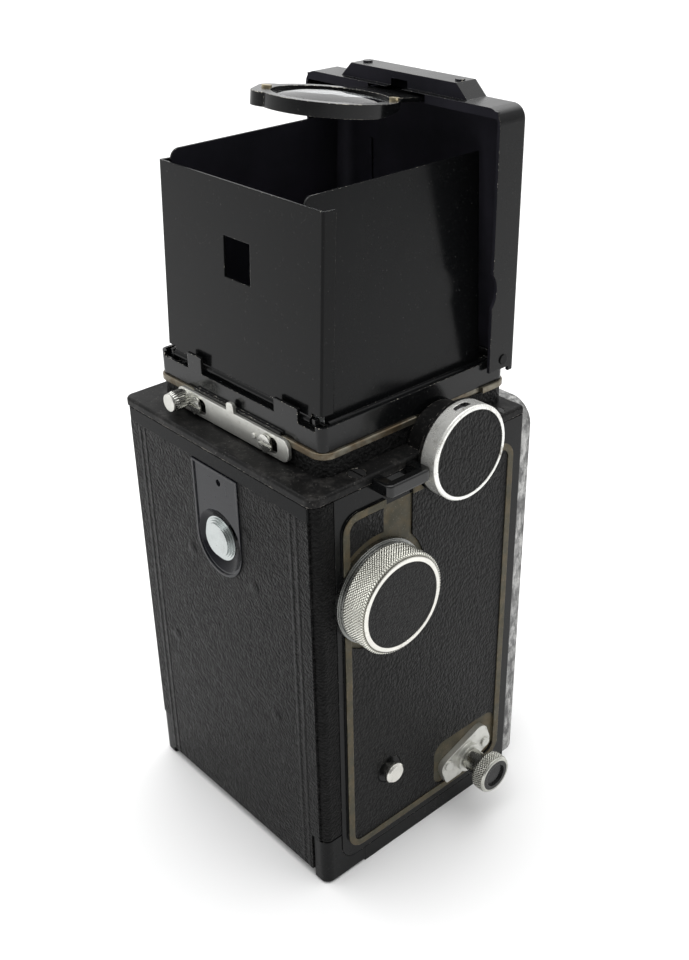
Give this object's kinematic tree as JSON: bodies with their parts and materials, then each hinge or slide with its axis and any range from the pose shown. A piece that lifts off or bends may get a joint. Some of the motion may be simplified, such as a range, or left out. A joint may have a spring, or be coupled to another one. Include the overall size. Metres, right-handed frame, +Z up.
{
  "type": "twin lens reflex camera",
  "caption": "Twin lens reflex camera with its folding viewing hood open, magnifier raised, side winding knob, sliding lens board and hinged back door.",
  "frame": {"origin": "mouth of the tripod socket, in the middle of the base", "axes": "+Z up; -Y is the lens side, +Y the back door; -X is the side with the winding knob"},
  "size_m": [0.0948, 0.0934, 0.198],
  "materials": {
    "black_paint": "satin black enamel",
    "gloss_black": "gloss black enamel, chipped at the edges",
    "matte_black": "matte black, dusty",
    "worn_bead": "grey-green paint worn to brass",
    "brown_leather": "worn brown leatherette",
    "leather": "black leatherette with a diagonal grain",
    "worn_brass": "worn brass",
    "brass": "satin",
    "nickel": "polished nickel, slightly dull",
    "grey_metal": "smooth grey",
    "steel": "ground",
    "white_dial": "white",
    "glass": "clear coated",
    "ground_glass": "ground",
    "mirror": "front silvered"
  },
  "bodies": {
    "camera_body": {"body_casting": "black_paint", "corner_covers": "black_paint", "right_side_plate": "worn_bead", "left_side_plate": "worn_bead", "top_plate": "matte_black", "strap_lugs": "gloss_black", "screen_collar": "matte_black", "collar_leather": "brown_leather", "collar_bead": "worn_brass", "focusing_screen": "ground_glass", "mirror": "mirror", "mirror_bracket": "matte_black", "light_chamber": "matte_black", "fixed_pins": "steel", "hood_base": "gloss_black", "hood_pins": "nickel", "cover_and_latch_screws": "nickel", "tripod_bush": "brass", "knob_base_ring": "grey_metal", "counter_housing": "nickel", "spool_flange": "nickel", "front_plate": "black_paint", "front_trim": "nickel", "front_leather": "leather", "left_leather": "leather", "right_leather": "leather"},
    "winding_knob": {"winding_knob": "nickel", "winding_knob_leather": "leather"},
    "takeup_spool": {"takeup_spool": "matte_black"},
    "supply_spool": {"supply_spool": "matte_black"},
    "counter_dial": {"counter_dial": "white_dial"},
    "film_roller_top": {"film_roller_top": "steel"},
    "film_roller_bottom": {"film_roller_bottom": "steel"},
    "lock_stud": {"lock_stud": "nickel"},
    "spool_pull_knob": {"spool_pull_knob": "nickel"},
    "back_door": {"back_door": "black_paint", "door_leather": "leather", "door_escutcheon": "gloss_black", "pressure_plate": "matte_black", "door_springs": "steel"},
    "back_latch_button": {"back_latch_button": "nickel"},
    "hood_latch_bar": {"hood_latch_bar": "nickel"},
    "hood_right_wall": {"hood_right_wall": "gloss_black"},
    "hood_left_wall": {"hood_left_wall": "gloss_black"},
    "hood_back_wall": {"hood_back_wall": "gloss_black"},
    "hood_lid": {"hood_lid": "gloss_black"},
    "magnifier": {"magnifier_frame": "gloss_black", "magnifier_lens": "glass", "magnifier_pin_and_rivets": "brass"},
    "focus_lever": {"focus_lever": "nickel"},
    "lens_board": {"lens_board": "black_paint", "lens_board_trim": "nickel", "lens_board_leather": "leather", "lens_barrels": "nickel", "lens_glasses": "glass", "shutter_housing": "black_paint"},
    "speed_ring": {"speed_ring": "nickel"},
    "aperture_lever": {"aperture_lever": "nickel"},
    "cocking_lever": {"cocking_lever": "nickel"},
    "release_lever": {"release_lever": "nickel"}
  },
  "joints": [
    {"name": "winding_knob_turn", "type": "hinge", "parent": "camera_body", "child": "winding_knob", "pos_m": [-0.042, 0.0157, 0.088], "axis": [-1, 0, 0], "continuous": true},
    {"name": "takeup_spool_turn", "type": "hinge", "parent": "camera_body", "child": "takeup_spool", "pos_m": [0, 0.0157, 0.088], "axis": [-1, 0, 0], "continuous": true},
    {"name": "counter_dial_turn", "type": "hinge", "parent": "camera_body", "child": "counter_dial", "pos_m": [-0.0414, -0.0088, 0.1187], "axis": [-1, 0, 0], "continuous": true},
    {"name": "supply_spool_turn", "type": "hinge", "parent": "camera_body", "child": "supply_spool", "pos_m": [0, -0.0172, 0.0157], "axis": [-1, 0, 0], "continuous": true},
    {"name": "film_roller_top_turn", "type": "hinge", "parent": "camera_body", "child": "film_roller_top", "pos_m": [0, 0.0263, 0.0769], "axis": [-1, 0, 0], "continuous": true},
    {"name": "film_roller_bottom_turn", "type": "hinge", "parent": "camera_body", "child": "film_roller_bottom", "pos_m": [0, 0.0263, 0.0163], "axis": [-1, 0, 0], "continuous": true},
    {"name": "lock_stud_press", "type": "slide", "parent": "camera_body", "child": "lock_stud", "axis": [1, 0, 0], "range_m": [0, 0.0011], "stiffness_N_per_m": 300},
    {"name": "spool_pull_knob_pull", "type": "slide", "parent": "camera_body", "child": "spool_pull_knob", "axis": [-1, 0, 0], "range_m": [0, 0.006], "stiffness_N_per_m": 200},
    {"name": "back_door_swing", "type": "hinge", "parent": "camera_body", "child": "back_door", "pos_m": [0, 0.0315, 0.0045], "axis": [-1, 0, 0], "range_deg": [0, 88]},
    {"name": "back_latch_button_press", "type": "slide", "parent": "back_door", "child": "back_latch_button", "axis": [0, -1, 0], "range_m": [0, 0.001], "stiffness_N_per_m": 300},
    {"name": "hood_latch_bar_slide", "type": "slide", "parent": "camera_body", "child": "hood_latch_bar", "axis": [1, 0, 0], "range_m": [0, 0.0023], "stiffness_N_per_m": 200},
    {"name": "hood_right_wall_fold", "type": "hinge", "parent": "camera_body", "child": "hood_right_wall", "pos_m": [-0.0284, 0, 0.131], "axis": [0, 1, 0], "range_deg": [0, 81.5]},
    {"name": "hood_left_wall_fold", "type": "hinge", "parent": "camera_body", "child": "hood_left_wall", "pos_m": [0.0284, 0, 0.1323], "axis": [0, -1, 0], "range_deg": [0, 87.5]},
    {"name": "hood_back_wall_fold", "type": "hinge", "parent": "camera_body", "child": "hood_back_wall", "pos_m": [0, 0.0247, 0.1326], "axis": [1, 0, 0], "range_deg": [-2.5, 0.5]},
    {"name": "hood_lid_close", "type": "hinge", "parent": "camera_body", "child": "hood_lid", "pos_m": [0, -0.0314, 0.1326], "axis": [-1, 0, 0], "range_deg": [0, 1]},
    {"name": "magnifier_fold", "type": "hinge", "parent": "hood_lid", "child": "magnifier", "pos_m": [0, -0.0308, 0.1921], "axis": [-1, 0, 0], "range_deg": [0, 90]},
    {"name": "focus_lever_turn", "type": "hinge", "parent": "camera_body", "child": "focus_lever", "pos_m": [0, -0.0396, 0.047], "axis": [0, -1, 0], "range_deg": [0, 50]},
    {"name": "lens_board_focus", "type": "slide", "parent": "camera_body", "child": "lens_board", "axis": [0, -1, 0], "range_m": [0, 0.0045]},
    {"name": "speed_ring_turn", "type": "hinge", "parent": "lens_board", "child": "speed_ring", "pos_m": [0, -0.052, 0.047], "axis": [0, -1, 0], "range_deg": [-120, 120]},
    {"name": "aperture_lever_turn", "type": "hinge", "parent": "lens_board", "child": "aperture_lever", "pos_m": [0, -0.0444, 0.047], "axis": [0, -1, 0], "range_deg": [-40, 40]},
    {"name": "cocking_lever_turn", "type": "hinge", "parent": "lens_board", "child": "cocking_lever", "pos_m": [0, -0.0458, 0.047], "axis": [0, 1, 0], "range_deg": [0, 45]},
    {"name": "release_lever_press", "type": "hinge", "parent": "lens_board", "child": "release_lever", "pos_m": [0, -0.0473, 0.047], "axis": [0, -1, 0], "range_deg": [0, 12], "stiffness_Nm_per_rad": 0.02}
  ],
  "couplings": [
    {"joint": "takeup_spool_turn", "follows": "winding_knob_turn", "ratio": 1},
    {"joint": "counter_dial_turn", "follows": "winding_knob_turn", "ratio": 0.125},
    {"joint": "focus_lever_turn", "follows": "lens_board_focus", "rad_per_m": 192.3}
  ]
}
